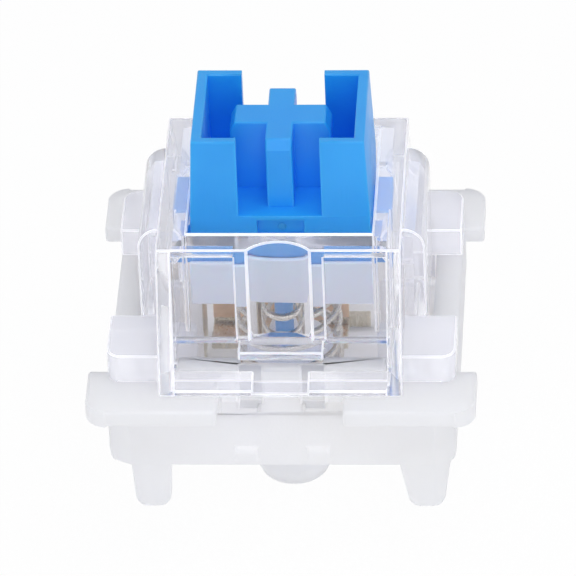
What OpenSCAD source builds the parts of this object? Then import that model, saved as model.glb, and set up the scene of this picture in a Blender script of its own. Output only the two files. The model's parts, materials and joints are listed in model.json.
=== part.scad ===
// Mechanical keyboard switch of the 14 mm plate format, clicky, with a dust-walled stem.
// Millimetres. The origin is on the circuit board's face at the centre post's axis, +Z up.
// The lens groove in the clear housing faces -Y and the two solder pins are on the +Y side.

/* [Format] */
// Height of the flange's underside, where the switch sits on its plate
plate_seat_z = 5; // [4.6:0.1:5.6]
// Width and depth over the flange
flange_size = 15.6; // [15:0.1:16.4]
// Thickness of the flange
flange_t = 0.75; // [0.6:0.05:0.9]
// Width and depth of the body that drops through the plate
body_size = 13.95; // [13.6:0.05:14]
// How much of each corner of the body is cut off along the front
corner_w = 0.87; // [0.5:0.01:1.1]
// How much of each corner of the body is cut off along the side
corner_d = 0.45; // [0.3:0.05:0.9]
// Height where the body's sides begin to draw in
knee_z = 3; // [2.6:0.1:3.4]
// How far each side of the body draws in at the board
side_taper = 0.45; // [0.2:0.05:0.6]
// How far each corner ear reaches along the sides
ear_depth = 2.85; // [2.2:0.05:3.4]
// Width of the flange's break in the middle of the front and back
flange_gap = 5.06; // [4.4:0.1:6]
// How far the flange's break reaches into the body
gap_depth = 1.15; // [1:0.05:1.3]
// Radius of the flange's corners in plan
flange_r = 0.9; // [0.4:0.1:1.4]

/* [Bottom housing] */
// Thickness of the tub's side walls
tub_wall = 1.05; // [0.8:0.05:1.3]
// Thickness of the tub's floor
floor_t = 1; // [0.8:0.1:1.4]
// Thickness of the wall between the lens bay and the tub
bay_back_t = 0.6; // [0.45:0.05:0.7]
// Thickness of the wall in front of the lens bay
bay_wall = 0.85; // [0.6:0.05:1.1]
// Height of the lens bay's lower edge above the board
bay_z = 2.55; // [2.2:0.05:2.9]
// How far the floor's front edge is cut back underneath
toe_in = 1.6; // [1.2:0.1:1.8]
// How high that cut rises at the front
toe_rise = 1.15; // [0.8:0.05:1.3]
// Thickness of the deck over the lens bay
deck_t = 1.2; // [0.9:0.1:1.5]
// Height of the rib that stands on the deck behind the clear sill
rib_h = 0.7; // [0.4:0.05:0.9]
// Depth of that rib from front to back
rib_depth = 0.9; // [0.6:0.05:1]
// Width of that rib
rib_w = 8.4; // [7:0.1:8.5]
// Diameter of the centre post below the board
post_d = 3.95; // [3.7:0.05:4]
// Length of the centre post below the board
post_len = 2.75; // [2.6:0.05:3.4]
// Outer diameter of the tube that guides the stem's rod
tube_d = 3.5; // [3.2:0.05:3.7]
// Height of that tube's rim above the board
tube_top = 4; // [3.6:0.1:4.4]
// Distance from the middle to the front left foot's inner face
foot_in = 4.49; // [4.3:0.02:4.7]
// Distance from the middle to the front right foot's inner face
foot_wide_in = 4.62; // [4.4:0.02:4.8]
// Width of the front left foot where it leaves the body
foot_w = 1.66; // [1.3:0.02:1.7]
// Width of the front right foot, which takes in the body's corner
foot_wide = 2.17; // [1.9:0.05:2.3]
// Radius of the front feet's ends
foot_tip_r = 0.5; // [0.3:0.05:0.6]
// How far each side of the front left foot draws in on the way down
foot_draw = 0.1; // [0.04:0.02:0.2]
// How far each side of the front right foot draws in on the way down
foot_wide_draw = 0.32; // [0.2:0.02:0.4]
// How far the front of a front foot leans back on the way down
foot_lean = 0.3; // [0.2:0.02:0.36]
// Depth of each front foot from front to back
foot_depth = 1.4; // [1:0.1:1.8]
// Width of each plate clip's nose
clip_w = 0.9; // [0.7:0.05:1.2]
// Distance of the clips' centres from the middle
clip_x = 1.45; // [1.2:0.05:1.7]
// How far a clip's nose stands out under the plate
clip_out = 0.22; // [0.1:0.02:0.3]
// Thickness of the plate that the clips hold
plate_t = 1.5; // [1.3:0.1:1.6]
// Height of the clips' noses
clip_h = 0.9; // [0.6:0.05:1]
// Distance from the middle to the pockets beside the front tab
pocket_in = 0.96; // [0.8:0.02:1.2]
// Depth of those pockets below the plate's level
pocket_drop = 0.2; // [0.1:0.05:0.5]
// Width of the slots for the lens's leads
lead_slot_w = 0.9; // [0.7:0.05:1.1]
// Depth of the slots for the lens's leads from front to back
lead_slot_d = 0.65; // [0.5:0.05:0.7]

/* [Top housing] */
// Height of the housing's top above the board
top_z = 11.6; // [11.3:0.1:12]
// Width of the frame that runs from the front to the back
frame_w = 9.76; // [9.5:0.02:10]
// Thickness of the frame's side walls
frame_wall = 0.6; // [0.4:0.05:0.7]
// Distance from the middle to the frame's foot, front and back
frame_foot = 6.8; // [6.6:0.05:7]
// Distance from the middle to the frame's top edge at the front
frame_top = 4.9; // [4.8:0.05:5.1]
// Distance from the middle to the frame's top edge at the back
frame_back = 4.45; // [4.3:0.05:4.7]
// Distance from the middle to the inner face of the front wall
bore_y = 3.75; // [3.6:0.05:3.8]
// Width of the two rails behind the front wall that guide the slider block
rail_w = 0.2; // [0.15:0.05:0.3]
// How far those rails stand out behind the front wall
rail_d = 0.3; // [0.2:0.05:0.4]
// Thickness of the front and back walls
front_wall = 0.55; // [0.4:0.05:0.6]
// Thickness of the housing's roof round the stem's opening
roof_t = 0.6; // [0.5:0.05:0.7]
// Depth of the sill bar from front to back
sill_depth = 0.95; // [0.7:0.05:1.1]
// Thickness of the lip along the top of the front wall
lip_t = 0.4; // [0.3:0.05:0.6]
// Height of the shelf's face across the front above the flange
shelf_h = 1.45; // [1.3:0.05:1.6]
// Thickness of the shelf
shelf_t = 0.4; // [0.3:0.05:0.5]
// Radius of the lens groove's hollow face
groove_r = 1.6; // [1.4:0.05:2]
// Width over the two ribs beside the lens groove
groove_w = 3.62; // [3.2:0.02:4]
// Distance from the middle to the groove's deepest line
groove_y = 4.3; // [4.2:0.05:4.4]
// How far the ledge under the groove stands out in front of the shelf
ledge_out = 0.85; // [0.5:0.05:0.9]
// Height of the sill bar's back edge above the flange
sill_h = 0.65; // [0.4:0.05:0.7]
// Width of the notch in the sill bar
sill_notch = 2.16; // [1.6:0.02:2.6]
// Width over the two cheeks that cover the stem's wings
cheek_w = 11.5; // [11.3:0.1:11.7]
// Depth of a cheek from front to back
cheek_depth = 5.8; // [5.2:0.1:6.4]
// How far the cheeks' crown lies below the housing's top
cheek_drop = 0.4; // [0.3:0.05:0.5]
// Radius of the cheeks' rounded edge
cheek_r = 0.9; // [0.5:0.1:1.2]
// Thickness of the cheeks' outer walls
cheek_wall = 0.5; // [0.4:0.05:0.55]
// Height of the corner lobes over the latches
lobe_h = 1.3; // [1:0.05:1.5]
// Distance from the middle to the lobes' near edge
lobe_near = 2.95; // [2.9:0.05:3.3]
// Distance from the middle to the lobes' far edge
lobe_far = 5.8; // [5.4:0.1:6.2]
// Radius of the lobes' corners in plan
lobe_r = 0.6; // [0.3:0.05:0.8]
// How far the stop for the stem's wings lies below the housing's top
ceiling_drop = 1; // [0.9:0.05:1.1]

/* [Stem] */
// Height of the stem's top above the board at rest
stem_top = 15.2; // [14.9:0.1:15.6]
// Width of the dust walls at the top
box_w = 6.9; // [6.8:0.05:7]
// Depth of the dust walls at the top
box_d = 5.15; // [5:0.05:5.2]
// Thickness of the dust walls at the two sides
box_side_t = 0.42; // [0.35:0.01:0.5]
// Thickness of the dust walls at the front and back
box_end_t = 0.36; // [0.3:0.01:0.45]
// Width of the gap in the front and back dust walls
box_gap = 3.32; // [3:0.02:3.6]
// Diameter of the keycap post that fits inside the dust walls
cap_post_d = 5.6; // [5.3:0.05:5.7]
// How far the floor inside the dust walls stands above the housing's top
floor_rise = 0.1; // [0.05:0.05:0.3]
// Thickness of the cross arm that runs from front to back
arm_y_t = 1.06; // [1:0.02:1.2]
// Thickness of the cross arm that runs from side to side
arm_x_t = 1.3; // [1.2:0.02:1.4]
// Length of both cross arms
arm_len = 4.04; // [3.9:0.02:4.2]
// How far the cross ends below the stem's top
cross_drop = 0.35; // [0.2:0.05:0.5]
// Width of the slider block below the dust walls
block_w = 7.2; // [7.1:0.05:7.3]
// Depth of the slider block below the dust walls
block_d = 5.35; // [5.25:0.05:5.45]
// How far the slider block reaches below the housing's top
block_drop = 2; // [1.9:0.05:2.1]
// Height of the hollow under the slider block that takes the jacket's neck
block_hollow = 0.85; // [0.7:0.05:0.9]
// Width over the two wings that slide in the cheeks
wing_w = 8.72; // [8.6:0.02:8.8]
// Depth of a wing from front to back
wing_d = 2.4; // [2.2:0.05:2.5]
// Height of the two wings
wing_h = 2.05; // [1.8:0.05:2.2]
// Diameter of the rod that slides in the guide tube
rod_d = 1.8; // [1.6:0.05:2]
// Overlap of the rod in the guide tube at rest
rod_lap = 0.6; // [0.4:0.1:0.8]
// Width of the recess below each gap in the dust walls
recess_w = 1.86; // [1.5:0.02:2.2]
// Height of that recess
recess_h = 0.75; // [0.5:0.05:0.9]
// Depth of that recess into the block
recess_in = 0.25; // [0.15:0.05:0.3]
// Size of the lead-in slopes on the cross arms' ends
cross_lead = 0.22; // [0.1:0.02:0.3]

/* [Click jacket] */
// Width of the jacket's block
jacket_w = 7.1; // [6.8:0.05:7.2]
// Depth of the jacket's block
jacket_d = 5.8; // [5.4:0.05:5.9]
// Height of the jacket's block
jacket_h = 1.25; // [1.1:0.05:1.3]
// Free play of the jacket on the stem, which makes the click
click_play = 0.6; // [0.5:0.02:0.62]
// Width of the jacket's cam leg
leg_w = 1.6; // [1.2:0.1:2]
// How far the cam leg reaches down below the jacket
leg_len = 2.2; // [2:0.1:2.3]
// Width of the apron down the jacket's front
apron_w = 7.36; // [7:0.02:7.6]
// How far the apron rises in front of the slider block
apron_lap = 0.1; // [0.05:0.05:0.3]

/* [Return spring] */
// Thickness of the spring wire
wire_d = 0.28; // [0.22:0.02:0.32]
// Outer diameter of the spring
spring_d = 4.4; // [4.3:0.05:4.6]
// Number of turns
spring_turns = 12; // [9:1:13]

/* [Contacts] */
// Distance of the leaf's solder pin from the middle, to the right
pin_leaf_x = 2.54; // [2.4:0.01:2.7]
// Distance of the leaf's solder pin in from the body's back face
pin_leaf_in = 1.895; // [1.8:0.005:2]
// Distance of the fixed contact's solder pin from the middle, to the left
pin_fixed_x = 3.81; // [3.7:0.01:3.9]
// Distance of the fixed contact's solder pin from the middle, to the back
pin_fixed_y = 2.54; // [2.4:0.01:2.7]
// Thickness of the stamped terminals
terminal_t = 0.3; // [0.25:0.01:0.35]
// Thickness of the moving leaf
leaf_t = 0.12; // [0.1:0.01:0.14]
// Width of the moving leaf
leaf_w = 5.6; // [5:0.1:5.8]
// Height of the moving leaf above its root
leaf_h = 4.4; // [4:0.1:4.6]
// Distance of the moving leaf's middle from the switch's, to the left
leaf_off = 0.66; // [0.5:0.02:0.8]
// How far the leaf's terminal runs forward along the tub's floor
terminal_foot = 2; // [1.6:0.1:2.1]
// Height of the weld nubs above the tub's floor
root_up = 0.95; // [0.8:0.05:1.1]
// Distance of each weld nub from the moving leaf's middle
rivet_off = 1.4; // [1.2:0.1:1.6]
// Width of the solder pins
pin_w = 0.95; // [0.7:0.05:1.1]
// Length of the solder pins below the board
pin_len = 3.3; // [2.8:0.1:3.5]
// Diameter of the contact tips
tip_d = 0.8; // [0.6:0.05:0.9]
// Distance of the contact tips' centre in from the leaf's edge
tip_in = 0.55; // [0.5:0.05:0.7]
// Thickness of the contact tips
tip_t = 0.18; // [0.12:0.02:0.2]
// Gap between the contact tips at rest
tip_gap = 0.36; // [0.32:0.02:0.4]

/* [Fits and motion] */
// Travel of the stem from rest to the bottom
travel = 4; // [3.4:0.1:4]
// Running clearance on each side of a sliding fit
slide_fit = 0.05; // [0.03:0.01:0.08]
// Clearance on each side of a piece that is trapped or pressed in
seat_fit = 0.02; // [0.01:0.01:0.03]

/* [Hidden] */
$fn = 48;
eps = 0.01;

// Frame of the housings
flange_half = flange_size / 2;
body_half = body_size / 2;
flange_top = plate_seat_z + flange_t;
ear_in = flange_half - ear_depth;
cavity_half = body_half - tub_wall;
bay_front = -body_half + bay_wall;
deck_under = flange_top - deck_t;
foot_lap = 0.4;
corner_in = body_half - corner_w;
pocket_side = 0.12;
pocket_front = 0.2;
lead_slot_x = 0.8;
lens_seat_w = 3.3;
lens_seat_h = 0.3;
lens_seat_d = 0.45;
clip_bevel = 0.12;
clip_flat = 0.3;
guide_t = 0.5;
guide_drop = 0.1;
post_cone = 1.25;
post_tip = 0.72;
post_nose_r = 0.3;

// Rib, sill and lower front wall stand one behind the other on the deck
rib_front = -frame_foot + sill_depth + seat_fit;
rib_back = rib_front + rib_depth;
lead_slot_back = rib_back - 0.55;
low_wall_front = rib_back + seat_fit;
low_wall_back = low_wall_front + front_wall;
wall_step = 0.06;
cavity_front = low_wall_back + wall_step;
bay_back = cavity_front - bay_back_t;
shelf_top = flange_top + shelf_h;
shelf_under = shelf_top - shelf_t;
upper_front = -bore_y - front_wall;

// Clear housing
frame_half = frame_w / 2;
frame_in = frame_half - frame_wall;
roof_under = top_z - roof_t;
open_gap = 0.1;
open_half = block_w / 2 + open_gap;
cheek_in = cheek_w / 2 - cheek_wall;
rest_gap = 0.05;
cheek_z = top_z - cheek_drop;
ceiling_z = top_z - ceiling_drop;
wing_top = ceiling_z - rest_gap;
latch_t = 0.5;
latch_side = 0.7;
latch_w = 1.35;
latch_drop = 1.6;
latch_near = lobe_near + latch_side;
latch_far = latch_near + latch_w;
latch_out = 0.4;
latch_hook = 0.25;
latch_bevel = 0.3;
latch_z = plate_seat_z - latch_drop;
latch_h = 0.5;
ledge_in = 0.1;
sill_front_h = 0.3;
sill_notch_h = 0.2;
back_slope = 0.86;

// Stem
stem_floor = top_z + floor_rise;
block_z = top_z - block_drop;
seat_z = block_z + block_hollow;
block_skirt = 0.4;
wing_z = wing_top - wing_h;
rod_end = tube_top - rod_lap;
rod_bore_end = rod_end - travel - 0.3;
cross_top = stem_top - cross_drop;
recess_under = 0.25;

// Click jacket
stop_gap = 0.1;
jacket_z = block_z - click_play - stop_gap - jacket_h;
neck_top = seat_z - click_play - stop_gap;
jacket_r = 0.4;
neck_r = 0.3;
neck_w = block_w - 2 * (block_skirt + slide_fit);
neck_d = block_d - 2 * (block_skirt + slide_fit);
spring_bore = spring_d + 0.6;
leg_root = 0.4;
leg_t = 1;
leg_slope = 0.09;
leg_nose = 0.3;
leg_gap = 0.14;

// Contacts
pin_leaf_y = body_half - pin_leaf_in;
pin_taper = 0.6;
plate_up = 0.9;
root_z = floor_t + root_up;
root_lap = 0.45;
root_gap = 0.06;
terminal_face = pin_leaf_y - terminal_t / 2;
leaf_face = terminal_face - root_gap - leaf_t;
leaf_x = -leaf_off;
leaf_top = root_z - root_lap + leaf_h;
tip_x = leaf_x - leaf_w / 2 + tip_in;
tip_z = leaf_top - 0.5;
fixed_face = leaf_face - 2 * tip_t - tip_gap;
tab_h = 1.3;
tab_edge = 0.2;
rivet_head_d = 0.7;
rivet_shank_d = 0.4;
rivet_head_t = 0.15;
rivet_gap = 0.05;
rivet_x = [leaf_x - rivet_off, leaf_x + rivet_off];
leg_face = leaf_face - leg_gap;
leg_back = leg_face - leg_slope * (jacket_h + leg_len - leg_nose);

// A plate with rounded corners in plan, centred, standing on z = 0
module rounded_plate(w, d, r, h) {
    translate([-w / 2 + r, -d / 2, 0]) cube([w - 2 * r, d, h]);
    translate([-w / 2, -d / 2 + r, 0]) cube([w, d - 2 * r, h]);
    for (x = [-1, 1], y = [-1, 1])
        translate([x * (w / 2 - r), y * (d / 2 - r), 0]) cylinder(r = r, h = h);
}

// A box from one corner to the opposite one
module span(a, b) {
    translate(a) cube(b - a);
}

// The same children on the left and the right
module both_sides() {
    for (s = [0, 1]) mirror([s, 0, 0]) children();
}

// The same children at the front and the back
module both_ends() {
    for (s = [0, 1]) mirror([0, s, 0]) children();
}

// Bottom housing
// The body in plan, with its corners cut off
module body_plan() {
    side_in = body_half - corner_d;
    polygon([[-corner_in, -body_half], [corner_in, -body_half], [body_half, -side_in], [body_half, side_in],
             [corner_in, body_half], [-corner_in, body_half], [-body_half, side_in], [-body_half, -side_in]]);
}

// The body draws in from the knee down, stops at the lens bay's lower edge in front, and its floor is cut back
module body_outside() {
    foot_half = body_half - side_taper;
    difference() {
        intersection() {
            translate([0, body_half, 0]) rotate([90, 0, 0]) linear_extrude(body_size)
                polygon([[-body_half, flange_top], [-body_half, knee_z], [-foot_half, 0],
                         [foot_half, 0], [body_half, knee_z], [body_half, flange_top]]);
            linear_extrude(flange_top) body_plan();
        }
        side_plate(-body_half, body_half,
                   [[-body_half - eps, -eps], [bay_back + toe_in, -eps], [bay_back, toe_rise],
                    [bay_back, bay_z], [-body_half - eps, bay_z]]);
    }
}

module flange() {
    difference() {
        translate([0, 0, plate_seat_z]) rounded_plate(flange_size, flange_size, flange_r, flange_t);
        both_sides() span([body_half, -ear_in, 0], [flange_half + eps, ear_in, top_z]);
        both_ends()
            span([-flange_gap / 2, body_half, 0], [flange_gap / 2, flange_half + eps, top_z]);
    }
}

// A front foot from x = near to x = near + w: a tapered leg with a rounded end that stands on the board
module front_foot(near, w, draw) {
    front = -body_half;
    back = front + foot_depth;
    foot_z = bay_z + foot_lap;
    far = near + w;
    hull() {
        span([near, front, foot_z], [min(far, corner_in), back, foot_z + eps]);
        span([near, front + corner_d, foot_z], [far, back, foot_z + eps]);
        for (x = [near + draw + foot_tip_r, far - draw - foot_tip_r],
             y = [front + foot_lean + foot_tip_r, back - foot_tip_r])
            translate([x, y, foot_tip_r]) sphere(r = foot_tip_r, $fn = 20);
    }
}

module plate_clip() {
    nose_top = plate_seat_z - plate_t;
    rotate([90, 0, 90]) linear_extrude(clip_w, center = true)
        polygon([[-body_half + seat_fit, nose_top], [-body_half - clip_out, nose_top - clip_bevel],
                 [-body_half - clip_out, nose_top - clip_flat], [-body_half + seat_fit, nose_top - clip_h]]);
}

// The round post under the floor, with a coned and rounded end
module centre_post() {
    r = post_d / 2;
    tip_r = r * post_tip;
    nose_z = -post_len + post_nose_r;
    rotate_extrude() {
        polygon([[0, eps], [r, eps], [r, -post_len + post_cone], [tip_r, nose_z], [0, nose_z]]);
        translate([0, -post_len]) square([tip_r - post_nose_r, post_nose_r + eps]);
        intersection() {
            translate([tip_r - post_nose_r, nose_z]) circle(r = post_nose_r);
            translate([0, -post_len]) square([r, post_nose_r + eps]);
        }
    }
}

module wing_guides() {
    near = wing_d / 2 + slide_fit;
    both_ends() both_sides()
        span([block_w / 2 + slide_fit, near, floor_t - eps],
             [cavity_half + eps, near + guide_t, flange_top - guide_drop]);
}

// The slot that a latch leg goes down, and the window that its hook snaps into
module latch_slot() {
    span([cavity_half - latch_t - 2 * slide_fit, latch_near - slide_fit, latch_z],
         [cavity_half, latch_far + slide_fit, flange_top + eps]);
    span([cavity_half - eps, latch_near - slide_fit, latch_z - slide_fit],
         [cavity_half + latch_out, latch_far + slide_fit, latch_z + latch_h + slide_fit]);
}

module bottom_housing() {
    color([0.92, 0.93, 0.94]) difference() {
        union() {
            difference() {
                union() {
                    body_outside();
                    flange();
                    span([-rib_w / 2, rib_front, flange_top - eps], [rib_w / 2, rib_back, flange_top + rib_h]);
                }
                // The tub that holds the works
                span([-cavity_half, cavity_front, floor_t], [cavity_half, cavity_half, top_z]);
                // The lens bay, open underneath
                span([-cavity_half, bay_front, -eps], [cavity_half, bay_back, deck_under]);
                // The break in the flange steps down to the plate's level
                both_ends()
                    span([-flange_gap / 2, body_half - gap_depth, plate_seat_z],
                         [flange_gap / 2, flange_half, flange_top + eps]);
                // Pockets beside the front tab, where the clips bend
                both_sides()
                    span([pocket_in, -body_half + pocket_front, plate_seat_z - pocket_drop],
                         [flange_gap / 2 - pocket_side, -body_half + gap_depth, flange_top]);
                // Slots for the lens's two leads, and the shallow seat of its foot
                both_sides()
                    span([lead_slot_x, lead_slot_back - lead_slot_d, 0],
                         [lead_slot_x + lead_slot_w, lead_slot_back, top_z]);
                span([-lens_seat_w / 2, rib_back - lens_seat_d, flange_top + rib_h - lens_seat_h],
                     [lens_seat_w / 2, rib_back + eps, top_z]);
                both_sides() both_ends() latch_slot();
            }
            wing_guides();
            cylinder(d = tube_d, h = tube_top);
            centre_post();
            front_foot(foot_wide_in, foot_wide, foot_wide_draw);
            mirror([1, 0, 0]) front_foot(foot_in, foot_w, foot_draw);
            both_ends() both_sides() translate([clip_x, 0, 0]) plate_clip();
        }
        // The bore that guides the stem's rod
        translate([0, 0, rod_bore_end]) cylinder(d = rod_d + 2 * slide_fit, h = tube_top - rod_bore_end + eps);
        // Slots for the two terminals
        pin_slot(pin_leaf_x, pin_leaf_y, pin_w, terminal_t);
        pin_slot(-pin_fixed_x, pin_fixed_y, terminal_t, pin_w);
    }
}

module pin_slot(x, y, w, d) {
    span([x - w / 2 - seat_fit, y - d / 2 - seat_fit, -eps],
         [x + w / 2 + seat_fit, y + d / 2 + seat_fit, floor_t + eps]);
}

// Top housing
// A plate that stands in the y and z plane, from x = a to x = b
module side_plate(a, b, points) {
    translate([a, 0, 0]) rotate([90, 0, 90]) linear_extrude(b - a) polygon(points);
}

module frame_wall_side() {
    side_plate(frame_in, frame_half,
               [[-frame_foot, flange_top], [-frame_top, top_z], [frame_back, top_z], [frame_foot, flange_top]]);
}

module cheek() {
    outer = cheek_w / 2;
    difference() {
        translate([0, cheek_depth / 2, 0]) rotate([90, 0, 0]) linear_extrude(cheek_depth)
            union() {
                translate([frame_in, flange_top]) square([outer - cheek_r - frame_in, cheek_z - flange_top]);
                translate([frame_in, flange_top]) square([outer - frame_in, cheek_z - cheek_r - flange_top]);
                translate([outer - cheek_r, cheek_z - cheek_r]) circle(r = cheek_r);
            }
        span([0, -cheek_depth / 2 + cheek_wall, flange_top - eps],
             [cheek_in, cheek_depth / 2 - cheek_wall, ceiling_z]);
    }
}

// A lobe that covers one corner, with its latch leg and hook
module lobe() {
    span([frame_half - eps, lobe_near, flange_top], [body_half, lobe_far - lobe_r, flange_top + lobe_h]);
    span([frame_half - eps, lobe_near, flange_top], [body_half - lobe_r, lobe_far, flange_top + lobe_h]);
    translate([body_half - lobe_r, lobe_far - lobe_r, flange_top]) cylinder(r = lobe_r, h = lobe_h);
    latch_face = cavity_half - slide_fit;
    span([latch_face - latch_t, latch_near, latch_z], [latch_face, latch_far, flange_top + eps]);
    translate([0, latch_far, 0]) rotate([90, 0, 0]) linear_extrude(latch_far - latch_near)
        polygon([[latch_face - eps, latch_z], [latch_face + latch_hook, latch_z + latch_bevel],
                 [latch_face + latch_hook, latch_z + latch_h], [latch_face - eps, latch_z + latch_h]]);
}

module front_face() {
    // Upper wall, lip along its top, and shelf below the window
    span([-frame_in - eps, upper_front, shelf_under], [frame_in + eps, -bore_y, top_z]);
    span([-frame_in - eps, -frame_top, top_z - lip_t], [frame_in + eps, upper_front + eps, top_z]);
    span([-frame_in - eps, low_wall_front, shelf_under], [frame_in + eps, upper_front + eps, shelf_top]);
    // Lower wall behind the rib
    span([-frame_in - eps, low_wall_front, flange_top], [frame_in + eps, low_wall_back, shelf_under + eps]);
    // Ledge under the lens groove, and the two ribs that frame the groove
    span([-groove_w / 2 + ledge_in, low_wall_front - ledge_out, shelf_under],
         [groove_w / 2 - ledge_in, low_wall_front + eps, shelf_top]);
    difference() {
        span([-groove_w / 2, -frame_top, shelf_top - eps], [groove_w / 2, -bore_y, top_z]);
        translate([0, -groove_y - groove_r, shelf_top]) cylinder(r = groove_r, h = top_z);
    }
    // Rails behind the front wall, beside the slider block
    both_sides() span([open_half, -bore_y - eps, shelf_under], [open_half + rail_w, -bore_y + rail_d, top_z]);
    // Sill bar with a sloped top
    difference() {
        side_plate(-frame_in - eps, frame_in + eps,
                   [[-frame_foot, flange_top], [-frame_foot, flange_top + sill_front_h],
                    [-frame_foot + sill_depth, flange_top + sill_h], [-frame_foot + sill_depth, flange_top]]);
        span([-sill_notch / 2, -frame_foot - eps, flange_top + sill_notch_h],
             [sill_notch / 2, -frame_foot + sill_depth + eps, top_z]);
    }
}

module back_face() {
    run = frame_foot - frame_back;
    side_plate(-frame_in - eps, frame_in + eps,
               [[frame_back, top_z], [frame_foot, flange_top], [frame_foot - front_wall, flange_top],
                [frame_foot - front_wall - run * back_slope, roof_under],
                [bore_y, roof_under], [bore_y, top_z]]);
}

module top_housing() {
    color([0.86, 0.88, 0.94, 0.45]) difference() {
        union() {
            both_sides() {
                frame_wall_side();
                cheek();
                both_ends() lobe();
                span([open_half, -bore_y - eps, roof_under], [frame_in + eps, bore_y + eps, top_z]);
                // The stop that the wings rest against
                span([open_half, -wing_d / 2 - frame_wall, ceiling_z],
                     [frame_in + eps, wing_d / 2 + frame_wall, top_z]);
            }
            front_face();
            back_face();
        }
        // The groove's hollow also cuts the lip and the upper wall
        translate([0, -groove_y - groove_r, shelf_top]) cylinder(r = groove_r, h = top_z);
        // Channels for the stem's wings, and the way into the cheeks
        both_sides()
            span([open_half - eps, -wing_d / 2 - slide_fit, flange_top - eps],
                 [wing_w / 2 + slide_fit, wing_d / 2 + slide_fit, ceiling_z]);
    }
}

// Stem
module dust_walls() {
    // The walls widen towards their foot, so each side is a plate with a sloped face
    difference() {
        intersection() {
            translate([0, block_d / 2, 0]) rotate([90, 0, 0]) linear_extrude(block_d)
                polygon([[-block_w / 2, stem_floor - eps], [block_w / 2, stem_floor - eps],
                         [box_w / 2, stem_top], [-box_w / 2, stem_top]]);
            side_plate(-block_w / 2, block_w / 2,
                       [[-block_d / 2, stem_floor - eps], [block_d / 2, stem_floor - eps],
                        [box_d / 2, stem_top], [-box_d / 2, stem_top]]);
        }
        span([-box_w / 2 + box_side_t, -box_d / 2 + box_end_t, stem_floor],
             [box_w / 2 - box_side_t, box_d / 2 - box_end_t, stem_top + eps]);
        translate([0, 0, stem_floor]) cylinder(d = cap_post_d, h = stem_top - stem_floor + eps);
        span([-box_gap / 2, -block_d, stem_floor], [box_gap / 2, block_d, stem_top + eps]);
    }
}

// One arm of the cross, with sloped lead-in ends
module cross_arm(length, t) {
    rise = cross_top - stem_floor;
    shoulder = rise - 2 * cross_lead;
    translate([0, 0, stem_floor - eps]) rotate([90, 0, 0]) linear_extrude(t, center = true)
        polygon([[-length / 2, 0], [length / 2, 0], [length / 2, shoulder], [length / 2 - cross_lead, rise],
                 [-length / 2 + cross_lead, rise], [-length / 2, shoulder]]);
}

module stem() {
    color([0.13, 0.52, 0.9]) difference() {
        union() {
            dust_walls();
            rotate([0, 0, 90]) cross_arm(arm_len, arm_y_t);
            cross_arm(arm_len, arm_x_t);
            // Slider block with a hollow underside that takes the jacket's neck and the spring
            difference() {
                span([-block_w / 2, -block_d / 2, block_z], [block_w / 2, block_d / 2, stem_floor]);
                span([-block_w / 2 + block_skirt, -block_d / 2 + block_skirt, block_z - eps],
                     [block_w / 2 - block_skirt, block_d / 2 - block_skirt, seat_z]);
                translate([0, 0, block_z - eps])
                    cylinder(d = spring_d + 2 * slide_fit, h = seat_z - block_z + eps);
            }
            both_sides()
                span([block_w / 2 - block_skirt, -wing_d / 2, wing_z], [wing_w / 2, wing_d / 2, wing_top]);
            translate([0, 0, rod_end]) cylinder(d = rod_d, h = seat_z - rod_end + eps);
        }
        // Recess below each gap in the dust walls
        both_ends()
            span([-recess_w / 2, -block_d / 2 - eps, stem_floor - recess_under - recess_h],
                 [recess_w / 2, -block_d / 2 + recess_in, stem_floor - recess_under]);
    }
}

// Click jacket
module click_jacket() {
    color([0.95, 0.95, 0.93]) difference() {
        union() {
            translate([0, 0, jacket_z]) rounded_plate(jacket_w, jacket_d, jacket_r, jacket_h);
            translate([0, 0, jacket_z]) rounded_plate(neck_w, neck_d, neck_r, neck_top - jacket_z);
            // Apron that covers the front of the block and of the stem's lower edge
            span([-apron_w / 2, -jacket_d / 2, jacket_z],
                 [apron_w / 2, -block_d / 2 - slide_fit, block_z + apron_lap]);
            // Cam leg that holds the leaf off its contact until the stem goes down
            side_plate(leaf_x - leg_w / 2, leaf_x + leg_w / 2,
                       [[jacket_d / 2 - leg_root, jacket_z + jacket_h], [leg_back, jacket_z + jacket_h],
                        [leg_face, jacket_z - leg_len + leg_nose], [leg_face - leg_nose, jacket_z - leg_len],
                        [leg_face - leg_t, jacket_z - leg_len], [jacket_d / 2 - leg_root, jacket_z]]);
        }
        translate([0, 0, jacket_z - leg_len]) cylinder(d = spring_bore, h = leg_len + neck_top);
        // The neck leaves room beside the wings
        both_sides()
            span([block_w / 2 - block_skirt - slide_fit, -wing_d / 2 - slide_fit, jacket_z - eps],
                 [block_w, wing_d / 2 + slide_fit, neck_top + eps]);
    }
}

// Return spring
// Height of the wire's centre along the coil, with one closed turn at each end
function coil_z(turn) =
    let (low = floor_t + wire_d / 2, high = seat_z - wire_d / 2)
    let (closed = wire_d * 1.02, open_rise = (high - low - 2 * closed) / (spring_turns - 2))
    turn < 1 ? low + closed * turn
    : turn > spring_turns - 1 ? high - closed * (spring_turns - turn)
    : low + closed + open_rise * (turn - 1);

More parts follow.
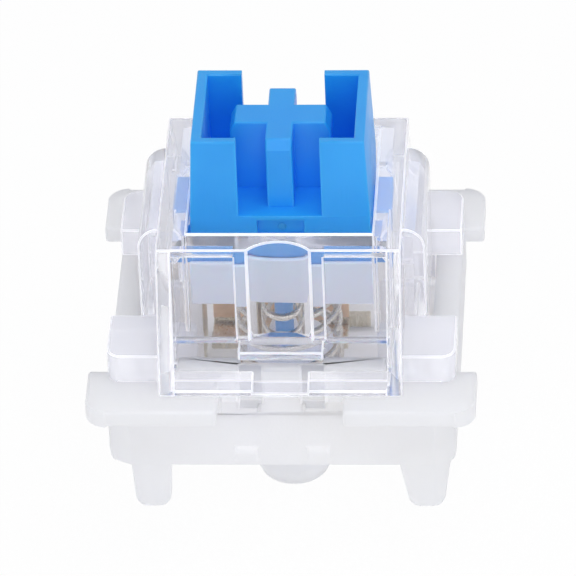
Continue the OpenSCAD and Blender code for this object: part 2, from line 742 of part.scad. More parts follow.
module return_spring() {
    ring_n = 20;
    side_n = 6;
    rings = spring_turns * ring_n;
    coil_r = spring_d / 2 - wire_d / 2;
    points = [for (i = [0 : rings], k = [0 : side_n - 1])
        let (a = 360 * i / ring_n, b = 360 * k / side_n)
        let (r = coil_r + wire_d / 2 * cos(b))
        [r * cos(a), r * sin(a), coil_z(i / ring_n) + wire_d / 2 * sin(b)]];
    sides = [for (i = [0 : rings - 1], k = [0 : side_n - 1])
        let (n = (k + 1) % side_n)
        [i * side_n + k, i * side_n + n, (i + 1) * side_n + n, (i + 1) * side_n + k]];
    ends = [[for (k = [side_n - 1 : -1 : 0]) k], [for (k = [0 : side_n - 1]) rings * side_n + k]];
    color([0.75, 0.76, 0.78]) polyhedron(points, concat(sides, ends), convexity = 10);
}

// Contacts
module contact_leaf() {
    color([0.72, 0.52, 0.36]) difference() {
        span([leaf_x - leaf_w / 2, leaf_face, root_z - root_lap],
             [leaf_x + leaf_w / 2, leaf_face + leaf_t, leaf_top]);
        for (x = rivet_x)
            translate([x, leaf_face - eps, root_z]) rotate([-90, 0, 0])
                cylinder(d = rivet_shank_d + 2 * rivet_gap, h = leaf_t + 2 * eps);
    }
}

module moving_contact_tip() {
    color([0.85, 0.68, 0.3])
        translate([tip_x, leaf_face, tip_z]) rotate([90, 0, 0]) cylinder(d = tip_d, h = tip_t);
}

module fixed_contact_tip() {
    color([0.85, 0.68, 0.3])
        translate([tip_x, fixed_face + tip_t, tip_z]) rotate([90, 0, 0]) cylinder(d = tip_d, h = tip_t);
}

module leaf_rivets() {
    color([0.74, 0.6, 0.44])
        for (x = rivet_x) translate([x, 0, root_z]) rotate([-90, 0, 0]) {
            translate([0, 0, leaf_face - rivet_gap - rivet_head_t])
                cylinder(d = rivet_head_d, h = rivet_head_t);
            translate([0, 0, leaf_face - rivet_gap - eps])
                cylinder(d = rivet_shank_d, h = leaf_t + rivet_gap + root_gap + terminal_t + eps);
        }
}

// A solder pin with a tapered end, centred on its own axis
module solder_pin(thin_along_y) {
    rotate([90, 0, thin_along_y ? 0 : 90]) linear_extrude(terminal_t, center = true)
        polygon([[-pin_w / 2, floor_t], [-pin_w / 2, -pin_len + pin_taper], [-pin_w / 4, -pin_len],
                 [pin_w / 4, -pin_len], [pin_w / 2, -pin_len + pin_taper], [pin_w / 2, floor_t]]);
}

module leaf_terminal() {
    color([0.8, 0.66, 0.42]) difference() {
        union() {
            translate([pin_leaf_x, pin_leaf_y, 0]) solder_pin(true);
            span([leaf_x - leaf_w / 2, terminal_face, floor_t],
                 [leaf_x + leaf_w / 2, terminal_face + terminal_t, root_z + plate_up]);
            span([leaf_x - leaf_w / 2, terminal_face + terminal_t - terminal_foot, floor_t],
                 [leaf_x + leaf_w / 2, terminal_face + eps, floor_t + terminal_t]);
            span([pin_leaf_x - pin_w / 2, terminal_face, floor_t],
                 [pin_leaf_x + pin_w / 2, terminal_face + terminal_t, root_z - root_lap]);
        }
        for (x = rivet_x)
            translate([x, terminal_face - eps, root_z]) rotate([-90, 0, 0])
                cylinder(d = rivet_shank_d + 2 * seat_fit, h = terminal_t + 2 * eps);
    }
}

module fixed_terminal() {
    inner = -pin_fixed_x + terminal_t / 2;
    outer = -pin_fixed_x - terminal_t / 2;
    near = pin_fixed_y - pin_w / 2;
    color([0.8, 0.66, 0.42]) {
        translate([-pin_fixed_x, pin_fixed_y, 0]) solder_pin(false);
        span([outer, near, floor_t], [inner, fixed_face, leaf_top]);
        span([outer, fixed_face - terminal_t, tip_z - tab_h / 2],
             [tip_x + tip_d / 2 + tab_edge, fixed_face, tip_z + tab_h / 2]);
    }
}

bottom_housing();
top_housing();
stem();
click_jacket();
return_spring();
contact_leaf();
leaf_rivets();
leaf_terminal();
moving_contact_tip();
fixed_terminal();
fixed_contact_tip();
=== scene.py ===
"""A clicky mechanical keyboard switch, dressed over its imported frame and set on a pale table."""
import json
import math

import bmesh
import bpy
from bpy.props import FloatProperty, FloatVectorProperty, IntProperty, PointerProperty
from mathutils import Matrix, Vector
from mathutils.bvhtree import BVHTree

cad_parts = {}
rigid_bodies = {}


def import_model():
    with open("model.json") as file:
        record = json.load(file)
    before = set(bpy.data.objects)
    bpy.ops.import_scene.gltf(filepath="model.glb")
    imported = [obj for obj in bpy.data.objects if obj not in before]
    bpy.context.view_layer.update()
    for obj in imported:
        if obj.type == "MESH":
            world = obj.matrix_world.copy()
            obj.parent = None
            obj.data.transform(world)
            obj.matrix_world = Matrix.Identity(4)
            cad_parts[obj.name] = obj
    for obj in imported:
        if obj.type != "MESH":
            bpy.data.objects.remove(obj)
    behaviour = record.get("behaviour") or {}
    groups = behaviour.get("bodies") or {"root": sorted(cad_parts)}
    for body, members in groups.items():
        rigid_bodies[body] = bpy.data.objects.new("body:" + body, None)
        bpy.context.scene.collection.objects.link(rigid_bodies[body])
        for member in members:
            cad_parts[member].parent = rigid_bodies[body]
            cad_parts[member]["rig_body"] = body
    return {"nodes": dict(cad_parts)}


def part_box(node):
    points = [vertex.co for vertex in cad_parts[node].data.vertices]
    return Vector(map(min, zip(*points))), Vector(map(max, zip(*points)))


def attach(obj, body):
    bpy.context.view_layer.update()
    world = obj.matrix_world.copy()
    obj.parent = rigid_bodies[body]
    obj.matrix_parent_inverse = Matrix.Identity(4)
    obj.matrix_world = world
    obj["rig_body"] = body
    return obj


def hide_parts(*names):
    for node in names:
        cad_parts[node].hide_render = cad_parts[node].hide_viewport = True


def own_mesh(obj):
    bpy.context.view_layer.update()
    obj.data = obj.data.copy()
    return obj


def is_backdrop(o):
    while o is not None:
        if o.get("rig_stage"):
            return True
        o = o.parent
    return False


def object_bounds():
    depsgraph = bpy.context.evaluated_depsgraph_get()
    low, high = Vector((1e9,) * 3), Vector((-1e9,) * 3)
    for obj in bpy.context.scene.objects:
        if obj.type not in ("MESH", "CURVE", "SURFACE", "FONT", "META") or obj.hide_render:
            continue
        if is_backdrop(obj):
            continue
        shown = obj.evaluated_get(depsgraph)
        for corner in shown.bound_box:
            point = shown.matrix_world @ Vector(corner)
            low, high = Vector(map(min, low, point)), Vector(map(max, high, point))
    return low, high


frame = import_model()

bl_info = {
    "name": "Keyboard Switch Finish",
    "version": (1, 0, 0),
    "blender": (4, 5, 0),
    "location": "View3D > Sidebar > Switch",
    "description": "Dresses a clicky keyboard switch in moulded plastic, wire and stamped metal",
    "category": "Add Mesh",
}

MM = 0.001
NODES = frame["nodes"]

# Where the clear housing sits on the flange, and the air left under it
FLANGE_TOP = 5.75 * MM
SEAT_AIR = 0.02 * MM
# Points nearer than WELD are one point, and faces thinner than SLIVER are left out
WELD = 0.001 * MM
SLIVER = 0.03 * MM
# An edge is rounded only where the faces beside it are wider than this
ROOM = 0.07 * MM
CLEAR_ROOM = 0.018 * MM
# Angles between two faces, in degrees: one plane, nearly one plane, a soft bend, a hard edge
SAME_PLANE = 0.6
NEAR_PLANE = 1.5
SOFT_BEND = 25
HARD_EDGE = 32
# The bottom housing's hollow, whose inner faces are painted pale with a faint glow
TUB_IN = 5.95 * MM
TUB_FLOOR = 0.6 * MM
# The clear housing's polished front, and where its satin flanks begin
WINDOW_HALF = 4.9 * MM
WINDOW_BACK = -3.4 * MM
FLANK_IN = 5.6 * MM
# The bead along the front of the stem's opening, which carries a painted highlight
RIM_PLACE = Vector((0, -3.83, 11.61)) * MM
RIM_SIZE = Vector((7.5, 0.14, 0.09)) * MM
RIM_ROUND = 0.03 * MM
# The moulding gate's mark, behind the stem's front
GATE_X = 0.05 * MM
GATE_Z = 11.04 * MM
GATE_RECESS = 0.25 * MM
# The spring's wire: corners round it, and steps in a turn
WIRE_SIDES = 10
TURN_STEPS = 40


def shade(hex_colour):
    """The linear colour of an sRGB hex value."""
    channels = [int(hex_colour[i : i + 2], 16) / 255 for i in (1, 3, 5)]
    return tuple(c / 12.92 if c <= 0.04045 else ((c + 0.055) / 1.055) ** 2.4 for c in channels)


def colour(name, description, hex_colour):
    """A colour property with its default."""
    return FloatVectorProperty(
        name=name,
        description=description,
        subtype="COLOR",
        size=3,
        min=0,
        max=1,
        default=shade(hex_colour),
    )


def length(name, description, millimetres):
    """A length property with its default, kept in metres."""
    return FloatProperty(
        name=name,
        description=description,
        unit="LENGTH",
        precision=5,
        min=0,
        default=millimetres * MM,
    )


class SwitchSizes(bpy.types.PropertyGroup):
    """Sizes of the edges and of the pieces that are modelled anew."""

    housing_edge: length("Housing edge", "Radius on the bottom housing's edges", 0.14)
    clear_edge: length("Clear edge", "Radius on the clear housing's edges", 0.075)
    stem_edge: length("Stem edge", "Radius on the stem's edges", 0.06)
    jacket_edge: length("Jacket edge", "Radius on the click jacket's edges", 0.07)
    metal_edge: length("Metal edge", "Radius on the stamped metal's edges", 0.015)
    wire: length("Spring wire", "Thickness of the spring wire", 0.28)
    turns: IntProperty(
        name="Spring turns", description="Turns of the return spring", min=4, max=16, default=12
    )
    gate: length("Gate mark", "Radius of the moulding gate's mark on the stem", 0.2)


class SwitchColours(bpy.types.PropertyGroup):
    """Colours of the plastics and metals."""

    nylon: colour("Nylon", "Milky white bottom housing", "#F9F9FC")
    clear: colour("Polycarbonate", "Tint of the clear top housing", "#FAFAFE")
    stem: colour("Stem", "Blue acetal of the stem", "#2AA6F6")
    jacket: colour("Jacket", "White acetal of the click jacket", "#E6ECF9")
    steel: colour("Spring steel", "Drawn spring wire", "#DAD4C8")
    bronze: colour("Bronze", "Phosphor bronze of the leaf", "#FFD6AA")
    brass: colour("Brass", "Stamped terminals", "#D2C8B2")
    tin: colour("Tin", "Tinned ends of the solder pins", "#C6C8CA")
    gold: colour("Gold", "Plating on the contact tips", "#E0B45A")
    table: colour("Table", "The pale floor", "#FFFFFF")


# Materials


def node(tree, kind, settings=None, **links):
    """One shader node with its settings and its links by input name."""
    made = tree.nodes.new(kind)
    for key, value in (settings or {}).items():
        if isinstance(key, str) and hasattr(made, key):
            setattr(made, key, value)
        else:
            made.inputs[key].default_value = value
    for key, source in links.items():
        tree.links.new(source, made.inputs[key.replace("_", " ")])
    return made


def new_material(name, base, **settings):
    """A named Principled material, with its tree, its shader and the place in metres."""
    material = bpy.data.materials.new(name)
    material.use_nodes = True
    tree = material.node_tree
    shader = tree.nodes["Principled BSDF"]
    shader.inputs["Base Color"].default_value = (*base, 1)
    for key, value in settings.items():
        shader.inputs[key.replace("_", " ")].default_value = value
    place = tree.nodes.new("ShaderNodeTexCoord").outputs["Object"]
    return material, tree, shader, place


def grain(tree, place, size_mm):
    """Noise whose features are size_mm across, from 0 to 1."""
    settings = {"Scale": 1 / (size_mm * MM), "Detail": 2.0}
    return node(tree, "ShaderNodeTexNoise", settings, Vector=place).outputs["Fac"]


def bump(tree, shader, height, depth_mm):
    """Relief of depth_mm on the shader's normal."""
    settings = {"Distance": depth_mm * MM, "Strength": 1.0}
    relief = node(tree, "ShaderNodeBump", settings, Height=height)
    tree.links.new(relief.outputs["Normal"], shader.inputs["Normal"])


def blend_colours(tree, factor, a, b):
    """A colour between a and b by factor."""
    # A Mix node keeps its colours in inputs 6 and 7 and gives the mixed one in output 2
    mix = tree.nodes.new("ShaderNodeMix")
    mix.data_type = "RGBA"
    mix.inputs[6].default_value, mix.inputs[7].default_value = (*a, 1), (*b, 1)
    tree.links.new(factor, mix.inputs[0])
    return mix.outputs[2]


def spread(tree, value, low, high):
    """The value stretched from a noise's usual 0.35 to 0.65 onto low to high."""
    return node(
        tree,
        "ShaderNodeMapRange",
        {"From Min": 0.35, "From Max": 0.65, "To Min": low, "To Max": high},
        Value=value,
    ).outputs["Result"]


def roughen(tree, shader, pattern, low, high):
    """Roughness that follows the pattern from low to high."""
    tree.links.new(spread(tree, pattern, low, high), shader.inputs["Roughness"])


def mottle(tree, shader, pattern, base, shares):
    """Base colour that wanders, by the pattern, from base to a share of each channel."""
    other = tuple(channel * share for channel, share in zip(base, shares))
    mixed = blend_colours(tree, spread(tree, pattern, 0, 1), tuple(base), other)
    tree.links.new(mixed, shader.inputs["Base Color"])


def milky_nylon(name, colours, painted_glow=0.0):
    """Moulded nylon, unfilled: milky, light enters it by a millimetre, satin from the mould.

    Its emission is painted light in place of the light that comes through the walls, and makes the
    tub pale inside.
    """
    material, tree, shader, place = new_material(
        name,
        colours.nylon,
        # Emission paints a faint glow that stands in for light through the walls
        Emission_Strength=painted_glow,
        Roughness=0.42,
        IOR=1.53,
        Subsurface_Weight=1.0,
        Subsurface_Scale=0.006,
        Subsurface_Radius=(1.0, 0.97, 0.9),
    )
    # Slow clouding of the melt, a little greyer and yellower in places
    mottle(tree, shader, grain(tree, place, 5.0), colours.nylon, (0.97, 0.965, 0.93))
    # The mould's fine spark-eroded skin
    skin = grain(tree, place, 0.12)
    bump(tree, shader, skin, 0.006)
    roughen(tree, shader, skin, 0.36, 0.48)
    return material


# The clear plastic's finishes: haze, roughness, index of refraction and emission, which is a
# painted glow
CLEAR_FINISHES = {
    "window": (0.08, 0.04, 1.36, 0.0),
    # The edges glow most: a painted highlight that makes them shine white
    "edges": (0.5, 0.5, 1.36, 0.2),
    "walls": (0.24, 0.05, 1.25, 0.04),
    "satin": (0.56, 0.1, 1.25, 0.045),
}


def clear_polycarbonate(finish, colours):
    """Moulded polycarbonate: clear, with a milky haze and a skin from polished to matt.

    Its emission is painted light in place of the light that the plastic pipes to its skin: a
    little on its walls, and enough on its edges to paint them shining white.
    """
    haze, roughness, ior, painted_glow = CLEAR_FINISHES[finish]
    material, tree, shader, place = new_material(
        f"clear_polycarbonate_{finish}",
        colours.clear,
        Roughness=roughness,
        IOR=ior,
        Transmission_Weight=1 - haze,
        # Emission paints light on the skin, strongest on the edges
        Emission_Strength=painted_glow,
    )
    # Flow marks bend the reflections slowly
    flow = grain(tree, place, 2.4)
    bump(tree, shader, flow, 0.0015)
    roughen(tree, shader, flow, roughness * 0.8, roughness * 1.2)
    return material


def blue_acetal(colours):
    """Moulded acetal: a slick, slightly translucent blue with a satin skin."""
    material, tree, shader, place = new_material(
        "blue_acetal_moulded",
        colours.stem,
        Roughness=0.36,
        IOR=1.48,
        Subsurface_Weight=0.3,
        Subsurface_Scale=0.0012,
        Subsurface_Radius=(0.4, 0.8, 1.0),
    )
    # The pigment is deeper in places
    mottle(tree, shader, grain(tree, place, 3.0), colours.stem, (0.8, 0.92, 0.97))
    # Drawn lines of the ejecting mould run up and down the walls
    stretch = node(tree, "ShaderNodeMapping", {"Scale": (1, 1, 0.08)}, Vector=place)
    lines = grain(tree, stretch.outputs["Vector"], 0.1)
    bump(tree, shader, lines, 0.004)
    roughen(tree, shader, lines, 0.3, 0.44)
    return material


def white_acetal(colours):
    """Natural acetal: a dense, cool white with a waxy gloss."""
    material, tree, shader, place = new_material(
        "white_acetal_moulded",
        colours.jacket,
        Roughness=0.34,
        IOR=1.48,
        Subsurface_Weight=0.25,
        Subsurface_Scale=0.0007,
    )
    skin = grain(tree, place, 0.15)
    bump(tree, shader, skin, 0.005)
    roughen(tree, shader, skin, 0.28, 0.4)
    return material


def rolled_metal(name, base, stretch_scale, line_mm, low, high):
    """A metal with fine lines along one way, from rolling or drawing."""
    material, tree, shader, place = new_material(name, base, Metallic=1.0, Roughness=low)
    stretch = node(tree, "ShaderNodeMapping", {"Scale": stretch_scale}, Vector=place)
    lines = grain(tree, stretch.outputs["Vector"], line_mm)
    bump(tree, shader, lines, 0.002)
    roughen(tree, shader, lines, low, high)
    return material, tree, shader, place


def spring_steel(colours):
    """Drawn stainless wire: bright, with short drawing scratches round the coil."""
    return rolled_metal("stainless_wire_drawn", colours.steel, (0.25, 0.25, 2), 0.1, 0.16, 0.34)[0]


def leaf_bronze(colours):
    """Phosphor bronze strip: warm brown metal with rolling lines from side to side."""
    material, tree, shader, place = rolled_metal(
        "phosphor_bronze_rolled", colours.bronze, (0.1, 1, 1), 0.08, 0.36, 0.52
    )
    # Stains from handling
    mottle(tree, shader, grain(tree, place, 0.9), colours.bronze, (0.8, 0.74, 0.7))
    return material


def terminal_brass(colours):
    """Stamped brass whose solder pins are dipped in tin from the board's face down."""
    material, tree, shader, place = rolled_metal(
        "brass_stamped_tinned", colours.brass, (1, 1, 0.1), 0.08, 0.2, 0.38
    )
    # The tin ends at a ragged line a quarter of a millimetre deep
    height = node(tree, "ShaderNodeSeparateXYZ", Vector=place).outputs["Z"]
    ragged = node(
        tree,
        "ShaderNodeMath",
        {"operation": "MULTIPLY_ADD", 1: 0.4 * MM},
        Value=grain(tree, place, 0.4),
    )
    tree.links.new(height, ragged.inputs[2])
    dipped = node(
        tree,
        "ShaderNodeMapRange",
        {"From Min": 0, "From Max": 0.25 * MM, "To Min": 1, "To Max": 0},
        Value=ragged.outputs[0],
    )
    tinned = blend_colours(
        tree, dipped.outputs["Result"], tuple(colours.brass), tuple(colours.tin)
    )
    tree.links.new(tinned, shader.inputs["Base Color"])
    return material


def contact_gold(colours):
    """Gold plate on the contact tips: bright and slightly orange-peeled."""
    return rolled_metal("gold_plated", colours.gold, (1, 1, 1), 0.12, 0.12, 0.24)[0]


# Meshes

QUARTER_TURN = Matrix.Rotation(math.pi / 2, 4, "X")


def new_piece(name, mesh, material, body):
    """A finished piece that rides on its body and takes its finish from a slot."""
    piece = bpy.data.objects.new(name, mesh)
    bpy.context.scene.collection.objects.link(piece)
    mesh.materials.append(material)
    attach(piece, body)
    return piece


def finished_mesh(bm, name, smooth=False):
    """The mesh of a bmesh that is done with."""
    mesh = bpy.data.meshes.new(name)
    bm.to_mesh(mesh)
    bm.free()
    if smooth:
        mesh.shade_smooth()
    return mesh


def is_bent(edge, low, high):
    """Whether the edge's two faces meet at an angle between low and high degrees."""
    return edge.is_manifold and math.radians(low) < edge.calc_face_angle(0) < math.radians(high)


def has_room(edge, narrowest):
    """Whether the faces beside the edge are wide enough to round it."""
    return all(
        face.calc_area() / max(side.calc_length() for side in face.edges) > narrowest
        for face in edge.link_faces
    )


def round_off(bm, edges, width):
    """Rounds the edges to width in two steps."""
    bmesh.ops.bevel(
        bm, geom=edges, offset=width, segments=2, profile=0.5, affect="EDGES", material=-1
    )


def flatten(bm, degrees):
    """Joins faces that lie within so many degrees of one another."""
    bmesh.ops.dissolve_limit(
        bm,
        angle_limit=math.radians(degrees),
        verts=bm.verts,
        edges=bm.edges,
        use_dissolve_boundaries=False,
    )


def rounded_copy(node_name, name, width, segments, seat_z=None, edge_slot=0, room=ROOM):
    """The node's mesh with whole flat faces, and with its hard outer edges rounded to width.

    The rounded faces take the material of edge_slot. An edge with less than room stays sharp.
    """
    bm = bmesh.new()
    bm.from_mesh(NODES[node_name].data)
    bmesh.ops.remove_doubles(bm, verts=bm.verts, dist=WELD)
    if seat_z is not None:
        # The faces on the flange rise by a hair, because touching plastics would render dark
        for vertex in bm.verts:
            if abs(vertex.co.z - seat_z) < WELD:
                vertex.co.z += SEAT_AIR
    flatten(bm, SAME_PLANE)
    # Slivers too small to see would turn the rounding inside out
    bmesh.ops.triangulate(bm, faces=[face for face in bm.faces if len(face.verts) > 4])
    bmesh.ops.remove_doubles(bm, verts=bm.verts, dist=SLIVER)
    bmesh.ops.dissolve_degenerate(bm, edges=bm.edges, dist=SLIVER / 6)
    flatten(bm, NEAR_PLANE)
    # Convex faces keep the rounding from filling the holes in a flat face
    bmesh.ops.connect_verts_concave(bm, faces=bm.faces)
    for face in bm.faces:
        face.smooth = any(is_bent(edge, SAME_PLANE, SOFT_BEND) for edge in face.edges)
    surface = BVHTree.FromBMesh(bm)
    rounded = bmesh.ops.bevel(
        bm,
        geom=[
            edge
            for edge in bm.edges
            if is_bent(edge, HARD_EDGE, 181) and edge.is_convex and has_room(edge, room)
        ],
        offset=width,
        offset_type="OFFSET",
        segments=segments,
        profile=0.5,
        affect="EDGES",
        clamp_overlap=False,
        material=-1,
        miter_outer="ARC",
    )
    for face in rounded["faces"]:
        face.smooth = True
        face.material_index = edge_slot
    # A corner that the rounding threw out goes back to the sharp surface
    for vertex in bm.verts:
        nearest, _, _, distance = surface.find_nearest(vertex.co)
        if distance > width * 1.05:
            vertex.co = nearest
    return finished_mesh(bm, name)


def dress(node_name, name, material, width, segments=2, seat_z=None, edge_material=None):
    """A rounded piece in place of a CAD node, with a second material on its edges if given."""
    edges = {"edge_slot": 1, "room": CLEAR_ROOM} if edge_material else {}
    mesh = rounded_copy(node_name, name, width, segments, seat_z, **edges)
    piece = new_piece(name, mesh, material, NODES[node_name]["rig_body"])
    if edge_material:
        mesh.materials.append(edge_material)
    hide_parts(node_name)
    return piece


class SWITCH_OT_bottom_housing(bpy.types.Operator):
    """Dresses the milky white bottom housing"""

    bl_idname = "switch.bottom_housing"
    bl_label = "Bottom housing"

    def execute(self, context):
        colours = context.scene.switch_colours
        piece = dress(
            "bottom_housing",
            "bottom_housing_moulding",
            milky_nylon("milky_nylon_moulded", colours),
            context.scene.switch_sizes.housing_edge,
            segments=3,
        )
        # Faces inside the tub take a copy that glows faintly: painted light that makes the shaded
        # hollow pale
        piece.data.materials.append(milky_nylon("milky_nylon_painted_glow", colours, 0.09))
        for face in piece.data.polygons:
            x, y, z = face.center
            if max(abs(x), abs(y)) < TUB_IN and TUB_FLOOR < z < FLANGE_TOP:
                face.material_index = 1
        return {"FINISHED"}


class SWITCH_OT_top_housing(bpy.types.Operator):
    """Dresses the clear top housing: a polished window, satin flanks and matt edges with a painted
    white glow
    """

    bl_idname = "switch.top_housing"
    bl_label = "Top housing"

    def execute(self, context):
        colours = context.scene.switch_colours
        window, edges, walls, satin = (
            clear_polycarbonate(finish, colours) for finish in CLEAR_FINISHES
        )
        piece = dress(
            "top_housing",
            "top_housing_moulding",
            window,
            context.scene.switch_sizes.clear_edge,
            seat_z=FLANGE_TOP,
            edge_material=edges,
        )
        piece.data.materials.append(walls)
        piece.data.materials.append(satin)
        for face in piece.data.polygons:
            if face.material_index == 0:
                side = abs(face.center.x)
                if side > FLANK_IN:
                    face.material_index = 3
                elif side > WINDOW_HALF or face.center.y > WINDOW_BACK:
                    face.material_index = 2
        # The raised bead along the front of the stem's opening, in the edges' glowing finish: a
        # painted highlight along the rim
        bm = bmesh.new()
        block = Matrix.Translation(RIM_PLACE) @ Matrix.Diagonal((*RIM_SIZE, 1))
        bmesh.ops.create_cube(bm, matrix=block)
        round_off(bm, bm.edges[:], RIM_ROUND)
        rim = finished_mesh(bm, "opening_rim_highlight_bead", smooth=True)
        body = NODES["top_housing"]["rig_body"]
        new_piece("opening_rim_highlight_bead", rim, edges, body)
        return {"FINISHED"}


class SWITCH_OT_stem(bpy.types.Operator):
    """Dresses the blue stem and adds the mark of its moulding gate"""

    bl_idname = "switch.stem"
    bl_label = "Stem"

    def execute(self, context):
        sizes = context.scene.switch_sizes
        blue = blue_acetal(context.scene.switch_colours)
        dress("stem", "stem_moulding", blue, sizes.stem_edge)
        # A shallow cone that faces forward, with its two rims rounded
        place = Vector((GATE_X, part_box("stem")[0].y + GATE_RECESS, GATE_Z))
        bm = bmesh.new()
        bmesh.ops.create_cone(
            bm,
            cap_ends=True,
            segments=32,
            radius1=sizes.gate,
            radius2=sizes.gate * 0.8,
            depth=sizes.gate * 0.4,
            matrix=Matrix.Translation(place) @ QUARTER_TURN,
        )
        rims = [edge for edge in bm.edges if is_bent(edge, 60, 120)]
        round_off(bm, rims, sizes.gate * 0.12)
        mark = finished_mesh(bm, "stem_gate_mark", smooth=True)
        new_piece("stem_gate_mark", mark, blue, NODES["stem"]["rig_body"])
        return {"FINISHED"}


class SWITCH_OT_click_jacket(bpy.types.Operator):
    """Dresses the white click jacket"""

    bl_idname = "switch.click_jacket"
    bl_label = "Click jacket"

    def execute(self, context):
        scene = context.scene
        dress(
            "click_jacket",
            "click_jacket_moulding",
            white_acetal(scene.switch_colours),
            scene.switch_sizes.jacket_edge,
        )
        return {"FINISHED"}


class SWITCH_OT_return_spring(bpy.types.Operator):
    """Winds the return spring as a smooth round wire with a closed turn at each end"""

    bl_idname = "switch.return_spring"
    bl_label = "Return spring"

    def execute(self, context):
        sizes = context.scene.switch_sizes
        low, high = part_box("return_spring")
        wire_r = sizes.wire / 2
        coil_r = (high.x - low.x) / 2 - wire_r
        closed_rise = sizes.wire * 1.02
        open_turns = sizes.turns - 2
        open_rise = high.z - low.z - sizes.wire - 2 * closed_rise
        bm = bmesh.new()
        start = Matrix.Translation((coil_r, 0, low.z + wire_r)) @ QUARTER_TURN
        bmesh.ops.create_circle(
            bm, radius=wire_r, segments=WIRE_SIDES, cap_ends=True, matrix=start
        )
        last = bm.faces[:] + bm.edges[:] + bm.verts[:]
        for turns, rise in ((1, closed_rise), (open_turns, open_rise), (1, closed_rise)):
            count = turns * TURN_STEPS
            spun = bmesh.ops.spin(
                bm,
                geom=last,
                cent=(0, 0, 0),
                axis=(0, 0, 1),
                dvec=(0, 0, rise / count),
                angle=math.tau * turns,
                steps=count,
                use_merge=False,
            )
            last = spun["geom_last"]
        bmesh.ops.recalc_face_normals(bm, faces=bm.faces)
        mesh = finished_mesh(bm, "return_spring_coil", smooth=True)
        steel = spring_steel(context.scene.switch_colours)
        coil = new_piece("return_spring_coil", mesh, steel, "housing")
        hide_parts("return_spring")
        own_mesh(coil)
        return {"FINISHED"}


class SWITCH_OT_contacts(bpy.types.Operator):
    """Dresses the leaf, its weld nubs, the two terminals and the contact tips"""

    bl_idname = "switch.contacts"
    bl_label = "Contacts"

    def execute(self, context):
        colours, edge = context.scene.switch_colours, context.scene.switch_sizes.metal_edge
        bronze, brass, gold = leaf_bronze(colours), terminal_brass(colours), contact_gold(colours)
        dress("contact_leaf", "contact_leaf_strip", bronze, edge)
        dress("leaf_rivets", "leaf_weld_nubs", bronze, edge * 2)
        dress("leaf_terminal", "leaf_terminal_stamping", brass, edge * 2)
        dress("fixed_terminal", "fixed_terminal_stamping", brass, edge * 2)
        dress("moving_contact_tip", "moving_tip_dome", gold, edge * 3)
        dress("fixed_contact_tip", "fixed_tip_dome", gold, edge * 3)
        return {"FINISHED"}


# Stage

# The photograph's view: angles in degrees, distance in metres, lens in millimetres
CAMERA_AZIMUTH = 4.19
CAMERA_ELEVATION = 35.5
CAMERA_ROLL = 2.44
CAMERA_DISTANCE = 0.322
CAMERA_LENS = 496.7
CAMERA_AIM = Vector((0, 0, 6.265 * MM))
# Each lamp's name, its place and size in millimetres, and its power in watts
LAMPS = (
    ("overhead_softbox", (30, -40, 190), 160, 0.128),
    ("left_softbox", (-170, -90, 90), 120, 0.052),
    ("right_softbox", (170, -60, 70), 110, 0.035),
    ("front_softbox", (10, -220, 70), 180, 0.1),
)
SKY_LEVEL = 0.46
TABLE_REACH = 0.6
# How white the eye sees the table: the rest of it takes the shadow
TABLE_WHITE = 0.96


def add_camera():
    """The photograph's viewpoint, a long lens slightly to the right and rolled."""
    a, e, r = (math.radians(v) for v in (CAMERA_AZIMUTH, CAMERA_ELEVATION, CAMERA_ROLL))
    back = Vector((math.sin(a) * math.cos(e), -math.cos(a) * math.cos(e), math.sin(e)))
    right = Vector((math.cos(a), math.sin(a), 0))
    up = back.cross(right)
    turned_right = right * math.cos(r) - up * math.sin(r)
    turned_up = right * math.sin(r) + up * math.cos(r)
    data = bpy.data.cameras.new("view")
    data.lens = CAMERA_LENS
    data.sensor_width = 36
    data.clip_start, data.clip_end = 0.01, 10
    camera = bpy.data.objects.new("view", data)
    bpy.context.scene.collection.objects.link(camera)
    turn = Matrix((turned_right, turned_up, back)).transposed()
    camera.matrix_world = Matrix.Translation(CAMERA_AIM + back * CAMERA_DISTANCE) @ turn.to_4x4()
    bpy.context.scene.camera = camera


def add_lamp(name, place_mm, size_mm, watts):
    """A square white area lamp that faces the switch."""
    data = bpy.data.lights.new(name, "AREA")
    data.size = size_mm * MM
    data.energy = watts
    lamp = bpy.data.objects.new(name, data)
    bpy.context.scene.collection.objects.link(lamp)
    place = Vector(place_mm) * MM
    aim = CAMERA_AIM - place
    turn = aim.to_track_quat("-Z", "Y").to_matrix().to_4x4()
    lamp.matrix_world = Matrix.Translation(place) @ turn


def seen(tree):
    """One for rays of the camera, glass and gloss, and zero for light that falls on things."""
    rays = tree.nodes.new("ShaderNodeLightPath").outputs
    either = rays["Is Camera Ray"]
    for kind in ("Is Transmission Ray", "Is Glossy Ray"):
        higher = node(tree, "ShaderNodeMath", {"operation": "MAXIMUM"}, Value=either)
        tree.links.new(rays[kind], higher.inputs[1])
        either = higher.outputs[0]
    return either


def show_white(tree, shader, white_kind, share, output):
    """Shows the shader mixed with plain white by share."""
    white = node(tree, white_kind, {"Color": (1, 1, 1, 1), "Strength": 1.0})
    mix = node(tree, "ShaderNodeMixShader", Fac=share)
    tree.links.new(shader.outputs[0], mix.inputs[1])
    tree.links.new(white.outputs[0], mix.inputs[2])
    tree.links.new(mix.outputs[0], tree.nodes[output].inputs["Surface"])


def add_world():
    """A pale even sky that the camera, gloss and glass see as white."""
    world = bpy.data.worlds.new("studio")
    world.use_nodes = True
    tree = world.node_tree
    sky = tree.nodes["Background"]
    sky.inputs["Color"].default_value = (*shade("#F4F6FF"), 1)
    sky.inputs["Strength"].default_value = SKY_LEVEL
    show_white(tree, sky, "ShaderNodeBackground", seen(tree), "World Output")
    bpy.context.scene.world = world


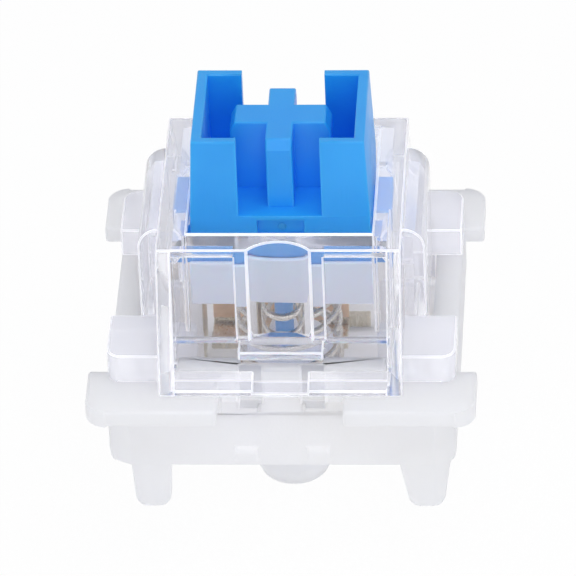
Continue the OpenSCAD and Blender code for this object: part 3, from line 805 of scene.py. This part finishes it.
def table_paper(colours):
    """White seamless paper: it reads as white and keeps a faint soft shadow."""
    material, tree, shader, place = new_material(
        "white_seamless_paper", colours.table, Roughness=0.9
    )
    bump(tree, shader, grain(tree, place, 0.4), 0.01)
    settings = {"operation": "MULTIPLY", 1: TABLE_WHITE}
    share = node(tree, "ShaderNodeMath", settings, Value=seen(tree)).outputs[0]
    show_white(tree, shader, "ShaderNodeEmission", share, "Material Output")
    return material


class SWITCH_OT_stage(bpy.types.Operator):
    """Sets the pale floor, the soft lamps, the sky and the camera"""

    bl_idname = "switch.stage"
    bl_label = "Stage"

    def execute(self, context):
        scene = context.scene
        scene.view_settings.view_transform = "Standard"
        # Light crosses many clear walls and gathers in the milky hollow
        scene.cycles.max_bounces = scene.cycles.transmission_bounces = 24
        scene.cycles.glossy_bounces = scene.cycles.diffuse_bounces = 16
        add_camera()
        add_world()
        for lamp in LAMPS:
            add_lamp(*lamp)
        bm = bmesh.new()
        lift = Matrix.Translation((0, 0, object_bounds()[0].z))
        bmesh.ops.create_grid(bm, x_segments=4, y_segments=4, size=TABLE_REACH, matrix=lift)
        mesh = finished_mesh(bm, "table_top")
        mesh.materials.append(table_paper(scene.switch_colours))
        table = bpy.data.objects.new("table_top", mesh)
        scene.collection.objects.link(table)
        table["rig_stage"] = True
        return {"FINISHED"}


class SWITCH_PT_finish(bpy.types.Panel):
    """Lists the switch's pieces and its stage"""

    bl_idname = "SWITCH_PT_finish"
    bl_label = "Keyboard Switch"
    bl_space_type = "VIEW_3D"
    bl_region_type = "UI"
    bl_category = "Switch"

    def draw(self, context):
        layout = self.layout
        for group in (context.scene.switch_sizes, context.scene.switch_colours):
            box = layout.box()
            for key in group.__annotations__:
                box.prop(group, key)
        for operator in OPERATORS:
            layout.operator(operator.bl_idname)


OPERATORS = (
    SWITCH_OT_bottom_housing,
    SWITCH_OT_top_housing,
    SWITCH_OT_stem,
    SWITCH_OT_click_jacket,
    SWITCH_OT_return_spring,
    SWITCH_OT_contacts,
    SWITCH_OT_stage,
)
CLASSES = (SwitchSizes, SwitchColours, *OPERATORS, SWITCH_PT_finish)


def register():
    """Adds the classes and the two groups of properties."""
    for cls in CLASSES:
        bpy.utils.register_class(cls)
    bpy.types.Scene.switch_sizes = PointerProperty(type=SwitchSizes)
    bpy.types.Scene.switch_colours = PointerProperty(type=SwitchColours)


def unregister():
    """Takes out what register adds."""
    del bpy.types.Scene.switch_colours
    del bpy.types.Scene.switch_sizes
    for cls in reversed(CLASSES):
        bpy.utils.unregister_class(cls)


def main():
    """Makes every piece in order."""
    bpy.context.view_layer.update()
    register()
    for operator in OPERATORS:
        group, name = operator.bl_idname.split(".")
        getattr(getattr(bpy.ops, group), name)()


if __name__ == "__main__":
    main()
